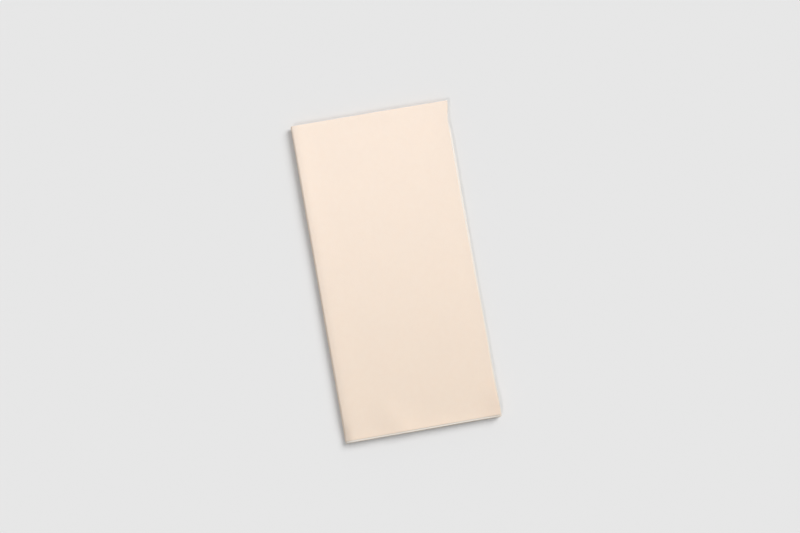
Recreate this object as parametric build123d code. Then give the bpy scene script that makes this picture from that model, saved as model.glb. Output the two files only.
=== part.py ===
"""A short stack of folded paper dinner napkins, lying flat and squared up by hand.

Each napkin is one sheet of two-ply tissue. It is folded in half once, which closes the +Y end. The doubled
sheet is folded in half about a line along Y, which makes the crease at +X, in the upper half of the napkin.
It is then folded in half once more, which makes the spine at -X, where one crease lies inside another. Eight
leaves lie on each other, and the cut edges show at -Y and, in the lower half, at +X.

Millimetres, +Z up, +Y towards the closed short end, -X towards the spine. The origin is on the surface that
the stack lies on, under the middle of its outline.
"""
import os

from build123d import *

# One napkin, folded
FOLDED_LENGTH = 200.0  # along Y, from the first fold to the cut edges
FOLDED_WIDTH = 97.7  # along X, from the spine to the furthest cut edge

# The tissue and the air that its folds hold
LEAF = 0.14  # two plies of tissue, lightly pressed
FIRST_FOLD_AIR = 0.08  # between the two leaves of the doubled sheet
PANEL_AIR = 0.08  # between two panels of the doubled sheet
CREASE_BEVEL = 0.1  # how far the first fold's pressed crease is rounded off

# How far the edges miss each other, as a folding machine leaves them
OUTER_LEAF_SHORT = 1.1  # the outer leaf ends this far before the inner one, at -Y
UPPER_FOLD_INSET = 1.1  # the upper crease at +X stops this far inside the furthest cut edge
UPPER_EDGE_INSET = 0.3  # the upper cut edge at +X stops this far inside the furthest one

# How each napkin lies, from the lowest up: its name, its shift along X and Y, and its turn in degrees
STACK = (
    ("bottom_napkin", -0.5, -0.7, -0.06),
    ("middle_napkin", -0.3, -0.35, 0.06),
    ("top_napkin", 0.0, 0.0, 0.0),
)

# What the fold heights work out to
HALF_PANEL = FIRST_FOLD_AIR / 2 + LEAF  # half the thickness of the doubled sheet
PITCH = 2 * HALF_PANEL + PANEL_AIR  # from the middle of one panel to the next
NAPKIN_THICKNESS = 2 * HALF_PANEL + 3 * PITCH
PANEL_HEIGHTS = [HALF_PANEL + level * PITCH for level in range(4)]

UP = 1
DOWN = -1


def doubled_sheet(x, z, outer_side):
    """Section of the doubled sheet, a hairpin open at -Y, on the plane at x and centred on height z.

    outer_side is where the sheet's outer face points: UP or DOWN.
    """
    inner_end = -FOLDED_LENGTH / 2
    outer_end = inner_end + OUTER_LEAF_SHORT
    closed_end = FOLDED_LENGTH / 2
    air_end = closed_end - LEAF
    air = outer_side * FIRST_FOLD_AIR / 2
    skin = outer_side * HALF_PANEL
    blunt = outer_side * (HALF_PANEL - CREASE_BEVEL)
    outline = Polyline(
        (outer_end, skin),
        (closed_end - CREASE_BEVEL, skin),
        (closed_end, blunt),
        (closed_end, -blunt),
        (closed_end - CREASE_BEVEL, -skin),
        (inner_end, -skin),
        (inner_end, -air),
        (air_end, -air),
        (air_end, air),
        (outer_end, air),
        close=True,
    )
    return Plane((x, 0, z), x_dir=(0, 1, 0), z_dir=(1, 0, 0)) * make_face(outline)


def panel(x_start, x_end, z, outer_side):
    """Flat stretch of the doubled sheet, from one x to a greater one."""
    return extrude(doubled_sheet(x_start, z, outer_side), x_end - x_start, dir=(1, 0, 0))


def crease(x, z_start, z_end, outer_side):
    """Half turn of the doubled sheet about a line along Y, from height z_start to z_end."""
    middle = Axis((x, 0, (z_start + z_end) / 2), (0, 1, 0))
    return revolve(doubled_sheet(x, z_start, outer_side), middle, 180)


def napkin():
    """One folded napkin as one solid, its lowest face on Z = 0 and its outline centred on the origin."""
    lowest, second, third, highest = PANEL_HEIGHTS
    furthest = FOLDED_WIDTH / 2
    spine = -furthest + NAPKIN_THICKNESS / 2
    upper_fold = furthest - UPPER_FOLD_INSET - PITCH / 2 - HALF_PANEL
    return (
        panel(spine, furthest, lowest, DOWN)
        + crease(spine, lowest, highest, DOWN)
        + panel(spine, upper_fold, highest, UP)
        + crease(upper_fold, highest, third, UP)
        + panel(spine, upper_fold, third, DOWN)
        + crease(spine, second, third, UP)
        + panel(spine, furthest - UPPER_EDGE_INSET, second, UP)
    )


def stack():
    """The napkins by name, each on the one below, with the middle of the stack's outline over the origin."""
    folded = napkin()
    laid = {}
    for level, (name, shift_x, shift_y, turn) in enumerate(STACK):
        laid[name] = Pos(shift_x, shift_y, level * NAPKIN_THICKNESS) * Rot(0, 0, turn) * folded
    middle = Compound(list(laid.values())).bounding_box().center()
    return {name: Pos(-middle.X, -middle.Y, 0) * solid for name, solid in laid.items()}


os.makedirs("parts", exist_ok=True)
for node, solid in stack().items():
    export_step(solid, f"parts/{node}.step")
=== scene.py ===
"""A short stack of folded paper napkins on a pale table, lit softly and seen from straight above.

Each napkin starts as the flat sheet it was cut from, a thin closed slab of tissue. Geometry Nodes fold it in
half three times, as the folding machine does, lay it on the ones below and let the whole stack settle: its
edges press thinner, its loose corners stand out and its leaves ripple a little.

Metres, +Z up, +Y towards the end closed by the first fold, -X towards the spine.
"""
import logging
import math
from dataclasses import dataclass, field
from enum import Enum
from typing import Any, Sequence

import bpy
import numpy as np
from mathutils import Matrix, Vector


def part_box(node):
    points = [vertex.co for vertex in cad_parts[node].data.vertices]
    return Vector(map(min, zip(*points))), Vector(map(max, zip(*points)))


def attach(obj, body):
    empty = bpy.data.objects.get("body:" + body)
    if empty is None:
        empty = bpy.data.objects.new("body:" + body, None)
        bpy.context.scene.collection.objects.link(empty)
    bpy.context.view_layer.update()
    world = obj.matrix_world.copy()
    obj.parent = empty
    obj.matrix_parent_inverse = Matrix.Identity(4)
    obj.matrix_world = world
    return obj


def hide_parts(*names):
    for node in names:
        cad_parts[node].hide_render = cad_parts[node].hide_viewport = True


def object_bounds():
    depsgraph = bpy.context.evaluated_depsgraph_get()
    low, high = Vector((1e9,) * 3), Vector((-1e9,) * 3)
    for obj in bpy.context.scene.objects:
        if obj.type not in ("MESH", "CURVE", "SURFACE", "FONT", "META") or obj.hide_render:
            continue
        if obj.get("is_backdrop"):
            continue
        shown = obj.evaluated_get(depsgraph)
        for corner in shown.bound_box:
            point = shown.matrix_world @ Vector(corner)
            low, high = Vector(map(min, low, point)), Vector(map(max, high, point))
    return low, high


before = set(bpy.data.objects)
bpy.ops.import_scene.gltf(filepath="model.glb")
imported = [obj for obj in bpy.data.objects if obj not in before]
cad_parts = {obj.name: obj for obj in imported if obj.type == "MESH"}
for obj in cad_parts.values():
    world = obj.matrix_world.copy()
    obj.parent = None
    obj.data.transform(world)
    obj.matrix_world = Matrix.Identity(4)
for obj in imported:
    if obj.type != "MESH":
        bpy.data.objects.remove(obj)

MM = 0.001
QUARTER_TURN = math.pi / 2
HALF_TURN = math.pi
LEAVES = 8  # what three folds in half make of one sheet
FALL = math.exp(-1)  # what is left of a press or a push one width or radius away from where it is strongest
ROUNDING = 1e-6  # so that a stretch that whole rows fill gets no row more
LOG = logging.getLogger("napkin_stack")

# The sRGB curve: straight for the darkest tones, then a power
STRAIGHT_END = 0.04045
STRAIGHT_SLOPE = 12.92
CURVE_OFFSET = 0.055
CURVE_POWER = 2.4

# Blender's names for the kinds of node that are used most
MATH = "ShaderNodeMath"
VECTOR_MATH = "ShaderNodeVectorMath"
NOISE = "ShaderNodeTexNoise"
MIX = "ShaderNodeMix"
TRANSFORM = "GeometryNodeTransform"

# The places of a Mix node's sockets when it mixes colours
MIX_SHARE, MIX_FIRST, MIX_SECOND = 0, 6, 7
MIX_RESULT = 2

Box = tuple[Vector, Vector]  # lowest and highest corner


class Layer(Enum):
    """The napkins of the stack, from the lowest up, by the names of their CAD nodes."""

    BOTTOM = "bottom_napkin"
    MIDDLE = "middle_napkin"
    TOP = "top_napkin"


def linear_colour(srgb_hex: str) -> tuple[float, float, float, float]:
    """Turns an sRGB hex colour into linear red, green, blue and a full alpha.

    Args:
        srgb_hex: the colour as six hex digits after a hash.

    Returns:
        The linear colour.
    """
    linear: list[float] = []
    for at in (1, 3, 5):
        part = int(srgb_hex[at:at + 2], 16) / 255
        if part <= STRAIGHT_END:
            linear.append(part / STRAIGHT_SLOPE)
        else:
            linear.append(((part + CURVE_OFFSET) / (1 + CURVE_OFFSET)) ** CURVE_POWER)
    red, green, blue = linear
    return red, green, blue, 1.0


def add_node(tree: bpy.types.NodeTree, kind: str, *inputs: Any, **settings: Any) -> bpy.types.Node:
    """Adds a node, sets its properties and fills its inputs.

    Args:
        tree: the tree that the node goes into.
        kind: Blender's name for the type of node.
        inputs: what goes into each input in turn: a number, a vector, a socket, a node, which stands for
            its first output, or None to leave the input as it is. A dict names its inputs instead.
        settings: the node's properties by name.

    Returns:
        The new node.
    """
    node = tree.nodes.new(kind)
    for name, value in settings.items():
        setattr(node, name, value)
    named: dict[Any, Any] = {}
    for at, value in enumerate(inputs):
        named.update(value if isinstance(value, dict) else {at: value})
    for key, value in named.items():
        if isinstance(value, bpy.types.Node):
            value = value.outputs[0]
        if isinstance(value, bpy.types.NodeSocket):
            tree.links.new(value, node.inputs[key])
        elif value is not None:
            node.inputs[key].default_value = value
    return node


def new_material(name: str) -> bpy.types.Material:
    """Makes a material whose node tree is empty.

    Args:
        name: the material's name.

    Returns:
        The material.
    """
    material = bpy.data.materials.new(name)
    material.use_nodes = True
    material.node_tree.nodes.clear()
    return material


def new_geometry_tree(name: str, numbers: Sequence[str], vectors: Sequence[str] = ()) -> bpy.types.NodeTree:
    """Makes an empty Geometry Nodes tree with a geometry socket at each end and named inputs.

    Args:
        name: the tree's name.
        numbers: the names of its number inputs.
        vectors: the names of its vector inputs, which follow the numbers.

    Returns:
        The tree.
    """
    tree = bpy.data.node_groups.new(name, "GeometryNodeTree")
    tree.interface.new_socket("Geometry", in_out="INPUT", socket_type="NodeSocketGeometry")
    tree.interface.new_socket("Geometry", in_out="OUTPUT", socket_type="NodeSocketGeometry")
    for each in numbers:
        tree.interface.new_socket(each, in_out="INPUT", socket_type="NodeSocketFloat")
    for each in vectors:
        tree.interface.new_socket(each, in_out="INPUT", socket_type="NodeSocketVector")
    return tree


@dataclass(frozen=True)
class FoldSizes:
    """Sizes of one folded napkin, the folds' radii and lines among them, in metres.

    The sheet is measured along its two directions: `length` runs along Y and is folded first, and `width`
    runs along X and is folded twice.
    """

    folded_width: float
    folded_length: float
    thickness: float
    leaf: float = 0.14 * MM
    outer_leaf_short: float = 1.1 * MM
    upper_fold_inset: float = 1.1 * MM
    upper_edge_inset: float = 0.3 * MM

    @property
    def air(self) -> float:
        """Air between two leaves: the leaves and the gaps between them make up the thickness."""
        return (self.thickness - LEAVES * self.leaf) / (LEAVES - 1)

    @property
    def first_bend(self) -> float:
        """Radius of the first fold, at the middle of the leaf."""
        return (self.leaf + self.air) / 2

    @property
    def half_panel(self) -> float:
        """Half the thickness of the doubled sheet."""
        return self.leaf + self.air / 2

    @property
    def pitch(self) -> float:
        """From the middle of one doubled panel to the next."""
        return 2 * self.half_panel + self.air

    @property
    def first_crease(self) -> float:
        """Where the first bend starts, from the inner leaf's cut edge."""
        return self.folded_length - self.half_panel

    @property
    def sheet_length(self) -> float:
        """Where the inner leaf's cut edge is, on a sheet whose outer leaf starts at outer_leaf_short."""
        return 2 * self.first_crease + math.pi * self.first_bend

    @property
    def spine_bend(self) -> float:
        """Radius of the spine's outer bend, half of three pitches, at the middle of the doubled sheet."""
        return 1.5 * self.pitch

    @property
    def spine_crease(self) -> float:
        """Where the bends at the spine start, from the furthest cut edge."""
        return self.folded_width - self.thickness / 2

    @property
    def upper_bend(self) -> float:
        """Radius of the upper fold away from the spine, at the middle of the doubled sheet."""
        return self.pitch / 2

    @property
    def upper_crease(self) -> float:
        """Where the upper fold's bend starts, from the furthest cut edge, along the sheet."""
        crease_from_edge = self.upper_fold_inset + self.upper_bend + self.half_panel
        return 2 * self.spine_crease + math.pi * self.spine_bend - crease_from_edge

    @property
    def sheet_width(self) -> float:
        """Width of the flat sheet, from its furthest cut edge to its upper one."""
        return 2 * self.upper_crease + math.pi * self.upper_bend - self.upper_edge_inset


@dataclass(frozen=True)
class FlatSheet:
    """The flat sheet before its folds: a closed slab, divided into finer rows where it will bend.

    The rows within `edge_reach` of a cut edge or a crease are finer too, because the leaves settle most there
    and coarse rows of neighbouring leaves would cut through each other. The slab is thinner than the leaf by
    `clearance`, which keeps surfaces that lie on each other apart.
    """

    sizes: FoldSizes
    row: float = 2.6 * MM
    rim_row: float = 0.12 * MM
    edge_row: float = 0.9 * MM
    edge_reach: float = 8 * MM
    clearance: float = 0.03 * MM
    crease_margin: float = 0.45 * MM
    wide_bend_row: float = 0.2 * MM
    tight_bend_row: float = 0.085 * MM
    first_bend_row: float = 0.05 * MM
    # Width of the strips along two cut edges whose pale tone is a painted highlight
    highlight_margin: float = 1.8 * MM

    def rows_between(self, marks: Sequence[tuple[float, float]]) -> np.ndarray:
        """Divides the stretches between marks into rows.

        Args:
            marks: places along the sheet in order, each with the row that its stretch is divided into,
                up to the next mark.

        Returns:
            The places of all rows, with the first and the last mark among them.
        """
        places: list[float] = []
        for (start, row), (end, _) in zip(marks, marks[1:]):
            count = max(1, math.ceil((end - start) / row - ROUNDING))
            places.extend(start + (end - start) * step / count for step in range(count))
        return np.array([*places, marks[-1][0]])

    def around_bend(self, start: float, end: float, bend_row: float) -> list[tuple[float, float]]:
        """Marks a bend across the sheet's width and the stretches on either side of it.

        Args:
            start: where the bend starts, from the furthest cut edge.
            end: where the bend ends.
            bend_row: the row that the bend is divided into.

        Returns:
            The marks, of which the last starts the sheet's usual rows.
        """
        return [
            (start - self.edge_reach, self.edge_row),
            (start - self.crease_margin, bend_row),
            (end + self.crease_margin, self.edge_row),
            (end + self.edge_reach, self.row),
        ]

    def rows_along_width(self) -> np.ndarray:
        """Divides the width, from the furthest cut edge to the upper one, with finer rows where it will bend.

        Returns:
            The places of the rows.
        """
        s = self.sizes
        turn = math.pi * s.spine_bend
        back = 2 * s.upper_crease + math.pi * s.upper_bend
        return self.rows_between([
            (0.0, self.rim_row),
            (self.rim_row, self.edge_row),
            (self.highlight_margin, self.edge_row),
            (self.edge_reach, self.row),
            *self.around_bend(s.spine_crease, s.spine_crease + turn, self.wide_bend_row),
            *self.around_bend(s.upper_crease, s.upper_crease + math.pi * s.upper_bend, self.tight_bend_row),
            *self.around_bend(back - s.spine_crease - turn, back - s.spine_crease, self.wide_bend_row),
            (s.sheet_width - self.edge_reach, self.edge_row),
            (s.sheet_width - self.highlight_margin, self.edge_row),
            (s.sheet_width - self.rim_row, self.rim_row),
            (s.sheet_width, self.rim_row),
        ])

    def rows_along_length(self) -> np.ndarray:
        """Divides the length, from the outer leaf's cut edge, through the first fold, to the inner leaf's.

        Returns:
            The places of the rows.
        """
        s = self.sizes
        return self.rows_between([
            (s.outer_leaf_short, self.rim_row),
            (s.outer_leaf_short + self.rim_row, self.edge_row),
            (s.outer_leaf_short + self.edge_reach, self.row),
            (s.first_crease, self.first_bend_row),
            (s.first_crease + math.pi * s.first_bend, self.row),
            (s.sheet_length - self.edge_reach, self.edge_row),
            (s.sheet_length - self.rim_row, self.rim_row),
            (s.sheet_length, self.rim_row),
        ])

    def faces(self, rows: int, columns: int) -> tuple[np.ndarray, np.ndarray, np.ndarray]:
        """Lists the slab's faces, all of which point outwards.

        Args:
            rows: how many rows of vertices each side has.
            columns: how many vertices each row has.

        Returns:
            The faces of the inner side, of the outer side and of the rim between them, by their vertices.
        """
        count = rows * columns
        corner = (np.arange(rows - 1)[:, None] * columns + np.arange(columns - 1)).ravel()
        inner = np.stack([corner, corner + 1, corner + columns + 1, corner + columns], 1)
        outer = inner[:, ::-1] + count
        grid = np.arange(count).reshape(rows, columns)
        loop = np.concatenate([grid[0, :-1], grid[:-1, -1], grid[-1, :0:-1], grid[:0:-1, 0]])
        after = np.roll(loop, -1)
        rim = np.stack([loop, loop + count, after + count, after], 1)
        return inner, outer, rim

    def highlight_strips(self, across: np.ndarray, strips: int) -> np.ndarray:
        """Marks the faces of the outer side along two cut edges that get the pale tone as a painted
        highlight.

        Args:
            across: the places of the rows along the width.
            strips: how many faces lie between two rows.

        Returns:
            For each face of the outer side, whether it gets the painted highlight.
        """
        from_side = (across[:-1] + across[1:]) / 2
        from_side = np.minimum(from_side, self.sizes.sheet_width - from_side)
        return np.repeat(from_side < self.highlight_margin, strips)

    def mesh(self, name: str) -> bpy.types.Mesh:
        """Builds the slab, with a UV map that runs once over the sheet and the faces that get the pale tone
        marked.

        The printing press dyes one side, the outer one; the inner side and the rim are bare tissue, paler.
        Strips along two of the outer side's cut edges get the same pale tone as a painted highlight, the pale
        bright rim of those edges.

        Args:
            name: the mesh's name.

        Returns:
            The mesh, its length along X and its width along Y.
        """
        along, across = self.rows_along_length(), self.rows_along_width()
        flat = np.stack(np.meshgrid(along, across), -1).reshape(-1, 2)
        half = np.full((len(flat), 1), (self.sizes.leaf - self.clearance) / 2)
        vertices = np.vstack([np.hstack([flat, half]), np.hstack([flat, -half])])
        inner, outer, rim = self.faces(len(across), len(along))
        quads = np.vstack([inner, outer, rim])

        mesh = bpy.data.meshes.new(name)
        mesh.from_pydata(vertices.tolist(), [], quads.tolist())
        uv = np.tile(flat / (self.sizes.sheet_length, self.sizes.sheet_width), (2, 1))
        mesh.uv_layers.new(name="sheet").data.foreach_set("uv", uv[quads.ravel()].astype(np.float32).ravel())
        smooth = np.ones(len(quads), dtype=bool)
        smooth[-len(rim):] = False
        mesh.polygons.foreach_set("use_smooth", smooth)
        # Pale tone: bare tissue on the inner side, and a painted highlight along the cut edges
        pale_tone_and_highlight = np.ones(len(quads), dtype=np.float32)
        pale_tone_and_highlight[len(inner):-len(rim)] = self.highlight_strips(across, len(along) - 1)
        mesh.attributes.new("pale_tone_and_highlight", "FLOAT", "FACE").data.foreach_set("value", pale_tone_and_highlight)
        mesh.update()
        return mesh


class FoldingTree:
    """The Geometry Nodes tree that folds a flat sheet, lays it in the stack and lets it settle.

    Its inputs are named after the three folds, the turn of the napkin and its place in the stack.
    """

    SIZES = (
        "First Crease", "First Bend", "Upper Crease", "Upper Bend", "Upper Axis", "Upper Tilt",
        "Spine Crease", "Spine Bend", "Spine Axis", "Spine Tilt", "Turn",
    )
    PLACES = ("Folded Corner", "Place")

    def __init__(self, finish: bpy.types.Material, settling: "Settling") -> None:
        """Builds the tree and the groups in it.

        Args:
            finish: the material that the folded sheet gets.
            settling: how the whole stack settles.
        """
        self.fold_group = self.build_fold_group()
        self.settle_group = settling.build_group()
        self.tree = new_geometry_tree("fold_napkin", self.SIZES, self.PLACES)
        self.fill(finish)

    def build_fold_group(self) -> bpy.types.NodeTree:
        """Makes the group that folds whatever lies beyond a line over, about an axis above it.

        Returns:
            The group. X grows towards the fold, and the crease may lean a little as Y grows.
        """
        tree = new_geometry_tree("fold_over", ("Crease", "Bend", "Axis", "Tilt"))
        given = add_node(tree, "NodeGroupInput").outputs
        at = add_node(tree, "GeometryNodeInputPosition")
        x, y, z = add_node(tree, "ShaderNodeSeparateXYZ", at).outputs
        crease = add_node(tree, MATH, y, given["Tilt"], given["Crease"], operation="MULTIPLY_ADD")
        before = add_node(tree, MATH, x, crease, operation="MINIMUM")

        # How far the sheet has turned, and what lies past the bend
        beyond = add_node(tree, MATH, x, crease, operation="SUBTRACT")
        share = add_node(tree, MATH, beyond, given["Bend"], operation="DIVIDE")
        started = add_node(tree, MATH, share, 0.0, operation="MAXIMUM")
        angle = add_node(tree, MATH, started, HALF_TURN, operation="MINIMUM")
        turned_back = add_node(tree, MATH, share, HALF_TURN, operation="SUBTRACT")
        past = add_node(tree, MATH, turned_back, 0.0, operation="MAXIMUM")
        past_length = add_node(tree, MATH, past, given["Bend"], operation="MULTIPLY")

        # Where that puts each point
        reach = add_node(tree, MATH, given["Axis"], z, operation="SUBTRACT")
        sine = add_node(tree, MATH, angle, operation="SINE")
        cosine = add_node(tree, MATH, angle, operation="COSINE")
        bulge = add_node(tree, MATH, reach, sine, before, operation="MULTIPLY_ADD")
        new_x = add_node(tree, MATH, bulge, past_length, operation="SUBTRACT")
        drop = add_node(tree, MATH, reach, cosine, operation="MULTIPLY")
        new_z = add_node(tree, MATH, given["Axis"], drop, operation="SUBTRACT")
        folded = add_node(tree, "ShaderNodeCombineXYZ", new_x, y, new_z)
        moved = add_node(tree, "GeometryNodeSetPosition", given["Geometry"], {"Position": folded})
        add_node(tree, "NodeGroupOutput", moved)
        return tree

    def add_fold(self, geometry: Any, sizes: dict[str, Any]) -> bpy.types.Node:
        """Adds one fold of the geometry, with its sizes by the names of the fold group's inputs."""
        inputs = {"Geometry": geometry, **sizes}
        return add_node(self.tree, "GeometryNodeGroup", inputs, node_tree=self.fold_group)

    def fill(self, finish: bpy.types.Material) -> None:
        """Chains the three folds, the place in the stack, the settling and the finish.

        Args:
            finish: the material that the folded sheet gets.
        """
        tree = self.tree
        given = add_node(tree, "NodeGroupInput").outputs
        bend = given["First Bend"]
        sizes = {"Crease": given["First Crease"], "Bend": bend, "Axis": bend}
        doubled = self.add_fold(given["Geometry"], sizes)
        folded = add_node(tree, TRANSFORM, doubled, {"Rotation": (0, 0, -QUARTER_TURN)})
        for fold in ("Upper", "Spine"):
            sizes = {size: given[f"{fold} {size}"] for size in ("Crease", "Bend", "Axis", "Tilt")}
            folded = self.add_fold(folded, sizes)
        centred = {"Translation": given["Folded Corner"], "Rotation": (0, 0, HALF_TURN)}
        facing = add_node(tree, TRANSFORM, folded, centred)
        turn = add_node(tree, "ShaderNodeCombineXYZ", 0.0, 0.0, given["Turn"])
        laid = add_node(tree, TRANSFORM, facing, {"Translation": given["Place"], "Rotation": turn})
        settled = add_node(tree, "GeometryNodeGroup", laid, node_tree=self.settle_group)
        real = add_node(tree, "GeometryNodeRealizeInstances", settled)
        dressed = add_node(tree, "GeometryNodeSetMaterial", real, {"Material": finish})
        add_node(tree, "NodeGroupOutput", dressed)

    def run_on(self, sheet: bpy.types.Object, numbers: dict[str, Any]) -> bpy.types.Object:
        """Folds a flat sheet and keeps the result as a plain mesh.

        Args:
            sheet: the flat sheet, which is removed.
            numbers: the tree's inputs by name.

        Returns:
            The folded napkin, under the flat sheet's name.
        """
        modifier = sheet.modifiers.new("fold", "NODES")
        modifier.node_group = self.tree
        for socket in self.tree.interface.items_tree:
            if socket.in_out == "INPUT" and socket.name in numbers:
                modifier[socket.identifier] = numbers[socket.name]
        evaluated = sheet.evaluated_get(bpy.context.evaluated_depsgraph_get())
        mesh = bpy.data.meshes.new_from_object(evaluated)
        sheet.modifiers.remove(modifier)
        name, flat = sheet.name, sheet.data
        bpy.data.objects.remove(sheet)
        bpy.data.meshes.remove(flat)
        folded = bpy.data.objects.new(name, mesh)
        mesh.name = name
        bpy.context.collection.objects.link(folded)
        return folded


class Side(Enum):
    """The sides of a box, seen from above, each by the axis across it and the corner that it runs through."""

    SPINE = (0, 0)
    FAR = (0, 1)
    OPEN_END = (1, 0)
    CLOSED_END = (1, 1)

    def place(self, box: Box) -> float:
        """Where the side lies on its axis."""
        axis, corner = self.value
        return box[corner][axis]


class Spot(Enum):
    """Spots that pushes are measured from, each by the side that gives its x and the one that gives its y.

    Left and right, lower and upper are as the camera sees them. None stands for the frame's middle line.
    """

    LOWER_LEFT = (Side.SPINE, Side.OPEN_END)
    LOWER_RIGHT = (Side.FAR, Side.OPEN_END)
    UPPER_LEFT = (Side.SPINE, Side.CLOSED_END)
    UPPER_RIGHT = (Side.FAR, Side.CLOSED_END)
    LOWER_MIDDLE = (None, Side.OPEN_END)
    LEFT_MIDDLE = (Side.SPINE, None)
    RIGHT_MIDDLE = (Side.FAR, None)

    def place(self, box: Box) -> tuple[float, ...]:
        """The spot's x and y."""
        return tuple(side.place(box) if side else 0.0 for side in self.value)


@dataclass(frozen=True)
class Press:
    """How much thinner the leaves lie along one side, fading inwards over its width.

    `kept` is the share of the stack's height that stays in place: at 1 the top stays where it is and the
    lower leaves draw up to it, a little off the table.
    """

    side: Side
    depth: float = 0.2
    width: float = 3 * MM
    kept: float = 1.0


@dataclass(frozen=True)
class Push:
    """A soft local push in millimetres, strongest at its centre, which is an offset away from a spot.

    A leaf moves by its share of the stack's height to the power of `fade`: all leaves alike at 0, the upper
    ones more the greater it is, and mostly the top leaf at 30.
    """

    spot: Spot
    offset: tuple[float, float]
    radii: tuple[float, float]
    push: tuple[float, float, float]
    fade: float = 2.0

    def centre(self, box: Box) -> tuple[float, float, float]:
        """Its centre in metres; the height doesn't count."""
        x, y = self.spot.place(box)
        return x + self.offset[0] * MM, y + self.offset[1] * MM, 0.0

    def spread(self) -> tuple[float, float, float]:
        """Radii in a metre along X and Y, and none along Z."""
        return 1 / (self.radii[0] * MM), 1 / (self.radii[1] * MM), 0.0

    def shift(self) -> tuple[float, ...]:
        """The push in metres."""
        return tuple(value * MM for value in self.push)


@dataclass(frozen=True)
class Waver:
    """A smooth random waver about a middle value: how far it goes either way, and its grain along X, Y and Z.

    The seed is fixed and says which stretch of the noise is read, so that no two wavers are alike.
    """

    reach: float
    grain: tuple[float, float, float]
    seed: float
    middle: float = 0.0
    detail: float = 1.0
    roughness: float = 0.4

    def add_to(self, tree: bpy.types.NodeTree, at: bpy.types.Node) -> bpy.types.Node:
        """Adds the waver to a tree.

        Args:
            tree: the tree that it goes into.
            at: the node that gives the place.

        Returns:
            The node that gives the waver's value.
        """
        finer = tuple(1 / size for size in self.grain)
        scaled = add_node(tree, VECTOR_MATH, at, finer, (self.seed,) * 3, operation="MULTIPLY_ADD")
        settings = {"Vector": scaled, "Scale": 1.0, "Detail": self.detail, "Roughness": self.roughness}
        noise = add_node(tree, NOISE, settings, noise_dimensions="3D")
        lowest = self.middle - self.reach
        return add_node(tree, MATH, noise, 2 * self.reach, lowest, operation="MULTIPLY_ADD")


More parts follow.
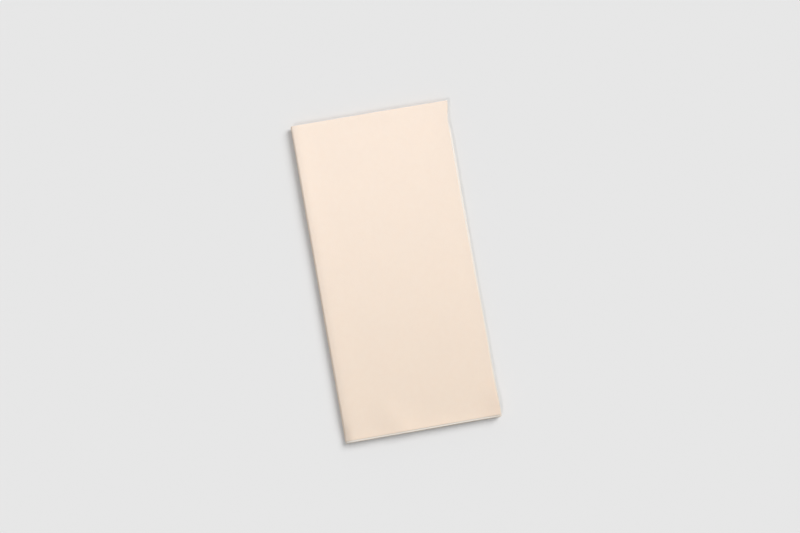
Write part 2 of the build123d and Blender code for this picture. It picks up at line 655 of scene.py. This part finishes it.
@dataclass(frozen=True)
class Settling:
    """How the stack settles under its own weight and the pressing of its creases.

    The box is its top napkin's. `ripple_full_at` is the share of the stack's height above which the leaves
    ripple fully, while the lowest lies still.
    """

    box: Box
    presses: tuple[Press, ...] = (
        Press(Side.SPINE, depth=0.34, width=2.4 * MM, kept=0.45),
        Press(Side.FAR),
        Press(Side.OPEN_END),
        Press(Side.CLOSED_END),
    )
    swell: Waver = Waver(reach=0.05, grain=(55 * MM, 55 * MM, 55 * MM), seed=3.1, middle=1.0)
    ripple: Waver = Waver(reach=0.16 * MM, grain=(26 * MM, 26 * MM, 1.7 * MM), seed=7.7)
    ripple_full_at: float = 0.25
    stray_x: Waver = Waver(reach=0.22 * MM, grain=(60 * MM, 60 * MM, 0.9 * MM), seed=11.3)
    stray_y: Waver = Waver(reach=0.22 * MM, grain=(60 * MM, 60 * MM, 0.9 * MM), seed=17.9)
    pushes: tuple[Push, ...] = (
        # The loose corner at the lower right stands out, its top leaves further and higher
        Push(Spot.LOWER_RIGHT, offset=(0, 5), radii=(12, 20), push=(0.5, 0, 0), fade=0.0),
        Push(Spot.LOWER_RIGHT, offset=(0, 4), radii=(9, 12), push=(1, 0, 0), fade=12.0),
        Push(Spot.LOWER_RIGHT, offset=(1, 9), radii=(8, 15), push=(0, 0, 1.6), fade=12.0),
        # The spine lies a little further in, and is bulkiest near its upper end
        Push(Spot.LEFT_MIDDLE, offset=(0, 0), radii=(20, 400), push=(0.1, 0, 0), fade=0.0),
        Push(Spot.UPPER_LEFT, offset=(0, -35), radii=(7, 50), push=(0, 0, 0.55), fade=1.0),
        # The upper right corner stands out, the side under it lies in, and that end is a little short
        Push(Spot.UPPER_RIGHT, offset=(0, -1), radii=(8, 7), push=(1.5, 0, 0), fade=1.0),
        Push(Spot.UPPER_RIGHT, offset=(0, -6), radii=(10, 11), push=(1.2, 0, 0), fade=12.0),
        Push(Spot.UPPER_RIGHT, offset=(0, -10), radii=(12, 8), push=(-0.7, 0, 0), fade=0.0),
        Push(Spot.UPPER_RIGHT, offset=(0, 0), radii=(70, 50), push=(0, -0.8, 0), fade=0.0),
        # Soft bumps near the lower edge
        Push(Spot.LOWER_LEFT, offset=(29, 15), radii=(6.5, 9), push=(0, 0, 0.45)),
        Push(Spot.LOWER_LEFT, offset=(36, 3), radii=(8, 9), push=(0, 0, 0.8)),
        Push(Spot.LOWER_LEFT, offset=(58, -2), radii=(22, 8), push=(0, 0, 0.4)),
        # The lower left corner droops. The top leaf is drawn in there, and stands up along the lower edge
        Push(Spot.LOWER_LEFT, offset=(0, 3), radii=(2.6, 8), push=(0, 0, -0.9), fade=2.5),
        Push(Spot.LOWER_LEFT, offset=(2, 0), radii=(6, 12), push=(0, 0.1, 0), fade=30.0),
        Push(Spot.LOWER_MIDDLE, offset=(0, 0), radii=(70, 4), push=(0, 0, 0.25), fade=30.0),
        # The right side bows out a little and droops
        Push(Spot.LOWER_RIGHT, offset=(0, 55), radii=(30, 28), push=(0.3, 0, 0), fade=0.0),
        Push(Spot.LOWER_RIGHT, offset=(0, 55), radii=(10, 40), push=(0.7, 0, 0), fade=12.0),
        Push(Spot.RIGHT_MIDDLE, offset=(0, 5), radii=(12, 60), push=(0, 0, -0.5), fade=1.0),
        # The whole spine is a little bulky
        Push(Spot.LEFT_MIDDLE, offset=(0, 0), radii=(12, 400), push=(0, 0, 0.3), fade=1.0),
    )

    @property
    def height(self) -> float:
        """Height of the stack."""
        return self.box[1][2]

    def build_group(self) -> bpy.types.NodeTree:
        """Makes the group that warps the space that the stack lies in, so that its leaves move together.

        Returns:
            The group.
        """
        tree = new_geometry_tree("settle", ())
        given = add_node(tree, "NodeGroupInput").outputs
        at = add_node(tree, "GeometryNodeInputPosition")
        x, y, z = add_node(tree, "ShaderNodeSeparateXYZ", at).outputs
        pressed = self.add_presses(tree, at, (x, y, z))
        up = add_node(tree, "ShaderNodeMapRange", {"Value": z, "From Max": self.height * self.ripple_full_at})
        rippled = add_node(tree, MATH, self.ripple.add_to(tree, at), up, pressed, operation="MULTIPLY_ADD")
        strayed_x = add_node(tree, MATH, self.stray_x.add_to(tree, at), x, operation="ADD")
        strayed_y = add_node(tree, MATH, self.stray_y.add_to(tree, at), y, operation="ADD")
        settled = add_node(tree, "ShaderNodeCombineXYZ", strayed_x, strayed_y, rippled)
        share = add_node(tree, MATH, z, self.height, operation="DIVIDE")
        for push in self.pushes:
            weight = self.add_weight(tree, at, share, push)
            shift = add_node(tree, VECTOR_MATH, push.shift(), {"Scale": weight}, operation="SCALE")
            settled = add_node(tree, VECTOR_MATH, settled, shift, operation="ADD")
        moved = add_node(tree, "GeometryNodeSetPosition", given["Geometry"], {"Position": settled})
        add_node(tree, "NodeGroupOutput", moved)
        return tree

    def add_presses(self, tree: bpy.types.NodeTree, at: bpy.types.Node,
                    place: Sequence[bpy.types.NodeSocket]) -> bpy.types.Node:
        """Adds the swell of the leaves and the pressing of the sides.

        Args:
            tree: the tree that they go into.
            at: the node that gives the place.
            place: the place's x, y and z.

        Returns:
            The node that gives the pressed height.
        """
        z = place[2]
        pressed = add_node(tree, MATH, z, self.swell.add_to(tree, at), operation="MULTIPLY")
        for press in self.presses:
            across = place[press.side.value[0]]
            inside = add_node(tree, MATH, across, press.side.place(self.box), operation="SUBTRACT")
            distance = add_node(tree, MATH, inside, operation="ABSOLUTE")
            steps = add_node(tree, MATH, distance, press.width, operation="DIVIDE")
            near = add_node(tree, MATH, FALL, steps, operation="POWER")
            depth = add_node(tree, MATH, near, press.depth, operation="MULTIPLY")
            to_kept = add_node(tree, MATH, press.kept * self.height, z, operation="SUBTRACT")
            pressed = add_node(tree, MATH, to_kept, depth, pressed, operation="MULTIPLY_ADD")
        return pressed

    def add_weight(self, tree: bpy.types.NodeTree, at: bpy.types.Node, share: bpy.types.Node,
                   push: Push) -> bpy.types.Node:
        """Adds how much of a push each point gets.

        Args:
            tree: the tree that it goes into.
            at: the node that gives the place.
            share: the node that gives the point's share of the stack's height.
            push: the push.

        Returns:
            The node that gives the weight, at most about 1.
        """
        away = add_node(tree, VECTOR_MATH, at, push.centre(self.box), operation="SUBTRACT")
        steps = add_node(tree, VECTOR_MATH, away, push.spread(), operation="MULTIPLY")
        squared = add_node(tree, VECTOR_MATH, steps, steps, operation="DOT_PRODUCT").outputs["Value"]
        near = add_node(tree, MATH, FALL, squared, operation="POWER")
        upper = add_node(tree, MATH, share, push.fade, operation="POWER")
        return add_node(tree, MATH, near, upper, operation="MULTIPLY")


@dataclass(frozen=True)
class CrepedTissue:
    """Two-ply paper tissue, creped on the drying cylinder and printed all over with peach on its outer ply.

    It is dull and soft: next to no gloss, a pale bloom where its loose fibres turn away, light that goes a
    little way in, and a fine crepe that only a close look shows. The inner ply and the cut edges are paler,
    bare tissue; along the cut edges and two strips beside them this pale tone is also a painted highlight.
    """

    name: str = "printed_creped_tissue"
    colour: str = "#E7D2BE"
    thin_colour: str = "#E9D6C3"
    # Pale tone of the bare tissue, which along the cut edges is a painted highlight
    pale_tone_and_highlight_colour: str = "#E3DACE"

    # The paper is thinner in soft clouds
    cloud_size: float = 4.0 * MM
    cloud_detail: float = 3.0
    cloud_roughness: float = 0.55

    # The crepe's ridges run along the sheet's length. The fibres are drawn coarser than real ones, to show
    crepe_pitch: float = 0.4 * MM
    crepe_run: float = 1.6 * MM
    crepe_depth: float = 0.06 * MM
    crepe_strength: float = 0.9
    crepe_roughness: float = 0.5
    fibre_size: float = 0.22 * MM
    fibre_share: float = 0.4
    fibre_roughness: float = 0.6
    relief_detail: float = 2.0

    # How dull, soft and deep the surface is
    roughness: float = 0.92
    refraction: float = 1.47
    gloss: float = 0.18
    scatter: float = 0.12
    scatter_colours: tuple[float, float, float] = (1.0, 0.75, 0.6)
    scatter_depth: float = 0.5 * MM
    bloom: float = 0.35
    bloom_roughness: float = 0.5

    def material(self, sizes: FoldSizes) -> bpy.types.Material:
        """Makes the tissue's material.

        Args:
            sizes: the sheet's sizes, which give the UV map its real scale.

        Returns:
            The material.
        """
        material = new_material(self.name)
        tree = material.node_tree
        sheet = add_node(tree, "ShaderNodeUVMap", uv_map="sheet")
        true_size = (sizes.sheet_length, sizes.sheet_width, 1.0)
        place = add_node(tree, VECTOR_MATH, sheet, true_size, operation="MULTIPLY")
        surface = add_node(tree, "ShaderNodeBsdfPrincipled", {
            "Base Color": self.add_tone(tree, place),
            "Roughness": self.roughness,
            "IOR": self.refraction,
            "Specular IOR Level": self.gloss,
            "Subsurface Weight": self.scatter,
            "Subsurface Radius": self.scatter_colours,
            "Subsurface Scale": self.scatter_depth,
            "Sheen Weight": self.bloom,
            "Sheen Roughness": self.bloom_roughness,
            "Normal": self.add_relief(tree, place),
        })
        add_node(tree, "ShaderNodeOutputMaterial", surface)
        return material

    def add_tone(self, tree: bpy.types.NodeTree, place: bpy.types.Node) -> bpy.types.NodeSocket:
        """Adds the colour: peach with paler clouds where it is printed, and a pale tone elsewhere: bare
        tissue, and along the cut edges a painted highlight.

        Args:
            tree: the material's tree.
            place: the node that gives the place on the sheet in metres.

        Returns:
            The socket that gives the colour.
        """
        cloud = add_node(tree, NOISE, {
            "Vector": place,
            "Scale": 1 / self.cloud_size,
            "Detail": self.cloud_detail,
            "Roughness": self.cloud_roughness,
        })
        printed = add_node(tree, MIX, {
            MIX_SHARE: cloud,
            MIX_FIRST: linear_colour(self.colour),
            MIX_SECOND: linear_colour(self.thin_colour),
        }, data_type="RGBA")
        # The pale tone: bare tissue, and a painted highlight along the cut edges
        tone = add_node(tree, MIX, {
            MIX_SHARE: add_node(tree, "ShaderNodeAttribute", attribute_name="pale_tone_and_highlight").outputs["Fac"],
            MIX_FIRST: printed.outputs[MIX_RESULT],
            MIX_SECOND: linear_colour(self.pale_tone_and_highlight_colour),
        }, data_type="RGBA")
        return tone.outputs[MIX_RESULT]

    def add_relief(self, tree: bpy.types.NodeTree, place: bpy.types.Node) -> bpy.types.Node:
        """Adds the bump of the crepe and its fibres.

        Args:
            tree: the material's tree.
            place: the node that gives the place on the sheet in metres.

        Returns:
            The node that gives the normal.
        """
        drawn_out = (1 / self.crepe_run, 1 / self.crepe_pitch, 1.0)
        crepe = add_node(tree, NOISE, {
            "Vector": add_node(tree, VECTOR_MATH, place, drawn_out, operation="MULTIPLY"),
            "Scale": 1.0,
            "Detail": self.relief_detail,
            "Roughness": self.crepe_roughness,
        })
        fibre = add_node(tree, NOISE, {
            "Vector": place,
            "Scale": 1 / self.fibre_size,
            "Detail": self.relief_detail,
            "Roughness": self.fibre_roughness,
        })
        height = add_node(tree, MATH, fibre, self.fibre_share, crepe, operation="MULTIPLY_ADD")
        bump = {"Strength": self.crepe_strength, "Distance": self.crepe_depth, "Height": height}
        return add_node(tree, "ShaderNodeBump", bump)


@dataclass(frozen=True)
class PaintedTable:
    """Painted board under the stack: pale, even and dull, so that only shadows mark it."""

    name: str = "matt_painted_board"
    colour: str = "#E7E7E7"
    roughness: float = 0.95
    gloss: float = 0.1

    def material(self) -> bpy.types.Material:
        """Makes the table's material.

        Returns:
            The material.
        """
        material = new_material(self.name)
        surface = add_node(material.node_tree, "ShaderNodeBsdfPrincipled", {
            "Base Color": linear_colour(self.colour),
            "Roughness": self.roughness,
            "Specular IOR Level": self.gloss,
        })
        add_node(material.node_tree, "ShaderNodeOutputMaterial", surface)
        return material


@dataclass(frozen=True)
class Lie:
    """How far one napkin is turned and how far its two last creases lean, in degrees."""

    turn: float = 0.0
    upper_tilt: float = 0.0
    spine_tilt: float = 0.0


@dataclass
class NapkinStack:
    """The napkins, each folded from its own sheet and laid on the one below."""

    finish: CrepedTissue = CrepedTissue()
    slot_name: str = "tissue"
    lies: dict[Layer, Lie] = field(default_factory=lambda: {
        Layer.BOTTOM: Lie(turn=-0.06, upper_tilt=0.05, spine_tilt=-0.03),
        Layer.MIDDLE: Lie(turn=0.06, upper_tilt=-0.07, spine_tilt=0.04),
        Layer.TOP: Lie(turn=0.0, upper_tilt=0.04, spine_tilt=0.0),
    })

    def sizes(self) -> FoldSizes:
        """Works out a folded napkin's sizes from the top one's box, because that one isn't turned.

        Returns:
            The sizes.
        """
        low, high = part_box(Layer.TOP.value)
        width, length, thickness = high - low
        return FoldSizes(folded_width=width, folded_length=length, thickness=thickness)

    def build(self) -> list[bpy.types.Object]:
        """Folds and places every napkin.

        Returns:
            The napkins, from the lowest up.
        """
        sizes = self.sizes()
        folding = FoldingTree(self.finish.material(sizes), Settling(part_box(Layer.TOP.value)))
        napkins: list[bpy.types.Object] = []
        for layer, lie in self.lies.items():
            name = f"folded_{layer.value}"
            sheet = bpy.data.objects.new(name, FlatSheet(sizes).mesh(name))
            bpy.context.collection.objects.link(sheet)
            napkin = folding.run_on(sheet, self.numbers(sizes, layer, lie))
            self.declare(napkin, layer)
            napkins.append(napkin)
        return napkins

    def numbers(self, sizes: FoldSizes, layer: Layer, lie: Lie) -> dict[str, Any]:
        """Works out the folding tree's inputs for one napkin.

        Args:
            sizes: the sizes of a folded napkin.
            layer: which napkin it is.
            lie: how it lies.

        Returns:
            The inputs by name.
        """
        low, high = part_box(layer.value)
        middle = (low + high) / 2
        return {
            "First Crease": sizes.first_crease,
            "First Bend": sizes.first_bend,
            "Upper Crease": sizes.upper_crease,
            "Upper Bend": sizes.upper_bend,
            "Upper Axis": sizes.first_bend + sizes.upper_bend,
            "Upper Tilt": math.radians(lie.upper_tilt),
            "Spine Crease": sizes.spine_crease,
            "Spine Bend": sizes.spine_bend,
            "Spine Axis": sizes.first_bend + sizes.spine_bend,
            "Spine Tilt": math.radians(lie.spine_tilt),
            "Turn": math.radians(lie.turn),
            "Folded Corner": (sizes.folded_width / 2, -sizes.folded_length / 2, sizes.leaf / 2),
            "Place": (middle.x, middle.y, low.z),
        }

    def declare(self, napkin: bpy.types.Object, layer: Layer) -> None:
        """Ties a napkin to the root body and hides the CAD part that it stands for.

        Args:
            napkin: the napkin's object.
            layer: which napkin it is.
        """
        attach(napkin, "root")
        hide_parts(layer.value)


@dataclass(frozen=True)
class FarLamp:
    """A soft lamp far away: its strength, the angle that it fills, and its tilt and heading, in degrees."""

    name: str
    strength: float
    size: float
    tilt: float
    heading: float

    def build(self) -> None:
        """Hangs the lamp."""
        data = bpy.data.lights.new(self.name, "SUN")
        data.energy = self.strength
        data.angle = math.radians(self.size)
        lamp = bpy.data.objects.new(self.name, data)
        lamp.rotation_euler = (0, math.radians(self.tilt), math.radians(self.heading))
        bpy.context.collection.objects.link(lamp)


@dataclass(frozen=True)
class NearLamp:
    """A small round lamp near the stack, its power in watts, which shines down on chosen objects alone."""

    name: str
    power: float
    colour: str
    size: float
    over: tuple[float, float, float]

    def build(self, lit: Sequence[bpy.types.Object]) -> None:
        """Hangs the lamp.

        Args:
            lit: the objects that the lamp lights.
        """
        data = bpy.data.lights.new(self.name, "AREA")
        data.shape = "DISK"
        data.size = self.size
        data.energy = self.power
        data.color = linear_colour(self.colour)[:3]
        lamp = bpy.data.objects.new(self.name, data)
        lamp.location = self.over
        bpy.context.collection.objects.link(lamp)
        receivers = bpy.data.collections.new(f"lit_by_{self.name}")
        for each in lit:
            receivers.objects.link(each)
        lamp.light_linking.receiver_collection = receivers


@dataclass(frozen=True)
class Studio:
    """The table, the soft light and the camera over the stack."""

    table_half_width: float = 3.0
    table_drop: float = 0.02 * MM
    lens_mm: float = 85.0
    sensor_mm: float = 36.0
    width_in_view: float = 497.26 * MM
    camera_turn: float = -9.93
    camera_over: tuple[float, float] = (3.35 * MM, 2.78 * MM)
    sky_colour: str = "#FFFFFF"
    sky_strength: float = 0.39
    key: FarLamp = FarLamp("key", strength=2.29, size=34.0, tilt=48.0, heading=33.5)
    counter: FarLamp = FarLamp("counter", strength=0.44, size=10.0, tilt=31.0, heading=227.0)
    fill: NearLamp = NearLamp(
        "fill", power=0.226, colour="#DAE6FF", size=60 * MM, over=(0.0, 112 * MM, 260 * MM)
    )

    def build_camera(self) -> None:
        """Hangs the camera over the stack, looking straight down."""
        data = bpy.data.cameras.new("camera")
        data.lens = self.lens_mm
        data.sensor_width = self.sensor_mm
        camera = bpy.data.objects.new("camera", data)
        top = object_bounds()[1][2]
        height = top + self.width_in_view * self.lens_mm / self.sensor_mm
        camera.location = (*self.camera_over, height)
        camera.rotation_euler = (0, 0, math.radians(self.camera_turn))
        bpy.context.collection.objects.link(camera)
        bpy.context.scene.camera = camera

    def build_table(self, finish: PaintedTable) -> None:
        """Lays the table under the stack.

        Args:
            finish: the table's finish.
        """
        half, z = self.table_half_width, -self.table_drop
        mesh = bpy.data.meshes.new("table")
        corners = [(-half, -half, z), (half, -half, z), (half, half, z), (-half, half, z)]
        mesh.from_pydata(corners, [], [(0, 1, 2, 3)])
        mesh.materials.append(finish.material())
        table = bpy.data.objects.new("table", mesh)
        bpy.context.collection.objects.link(table)
        table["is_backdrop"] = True

    def build_light(self) -> None:
        """Lights the studio with an even sky, a broad lamp from the upper right and a weak one against it."""
        world = bpy.data.worlds.new("studio")
        world.use_nodes = True
        world.node_tree.nodes.clear()
        colour = linear_colour(self.sky_colour)
        sky = add_node(world.node_tree, "ShaderNodeBackground", colour, self.sky_strength)
        add_node(world.node_tree, "ShaderNodeOutputWorld", sky)
        bpy.context.scene.world = world
        for lamp in (self.key, self.counter):
            lamp.build()

    def set_colours(self) -> None:
        """Shows colours as they are, with no film curve."""
        view = bpy.context.scene.view_settings
        view.view_transform = "Standard"
        view.look = "None"


def main() -> None:
    logging.basicConfig(level=logging.INFO, format="%(name)s: %(message)s")
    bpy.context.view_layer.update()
    studio = Studio()
    studio.build_camera()
    studio.set_colours()
    studio.build_table(PaintedTable())
    studio.build_light()
    napkins = NapkinStack().build()
    for napkin in napkins:
        LOG.info("%s: %d faces", napkin.name, len(napkin.data.polygons))
    studio.fill.build(napkins)


if __name__ == "__main__":
    main()
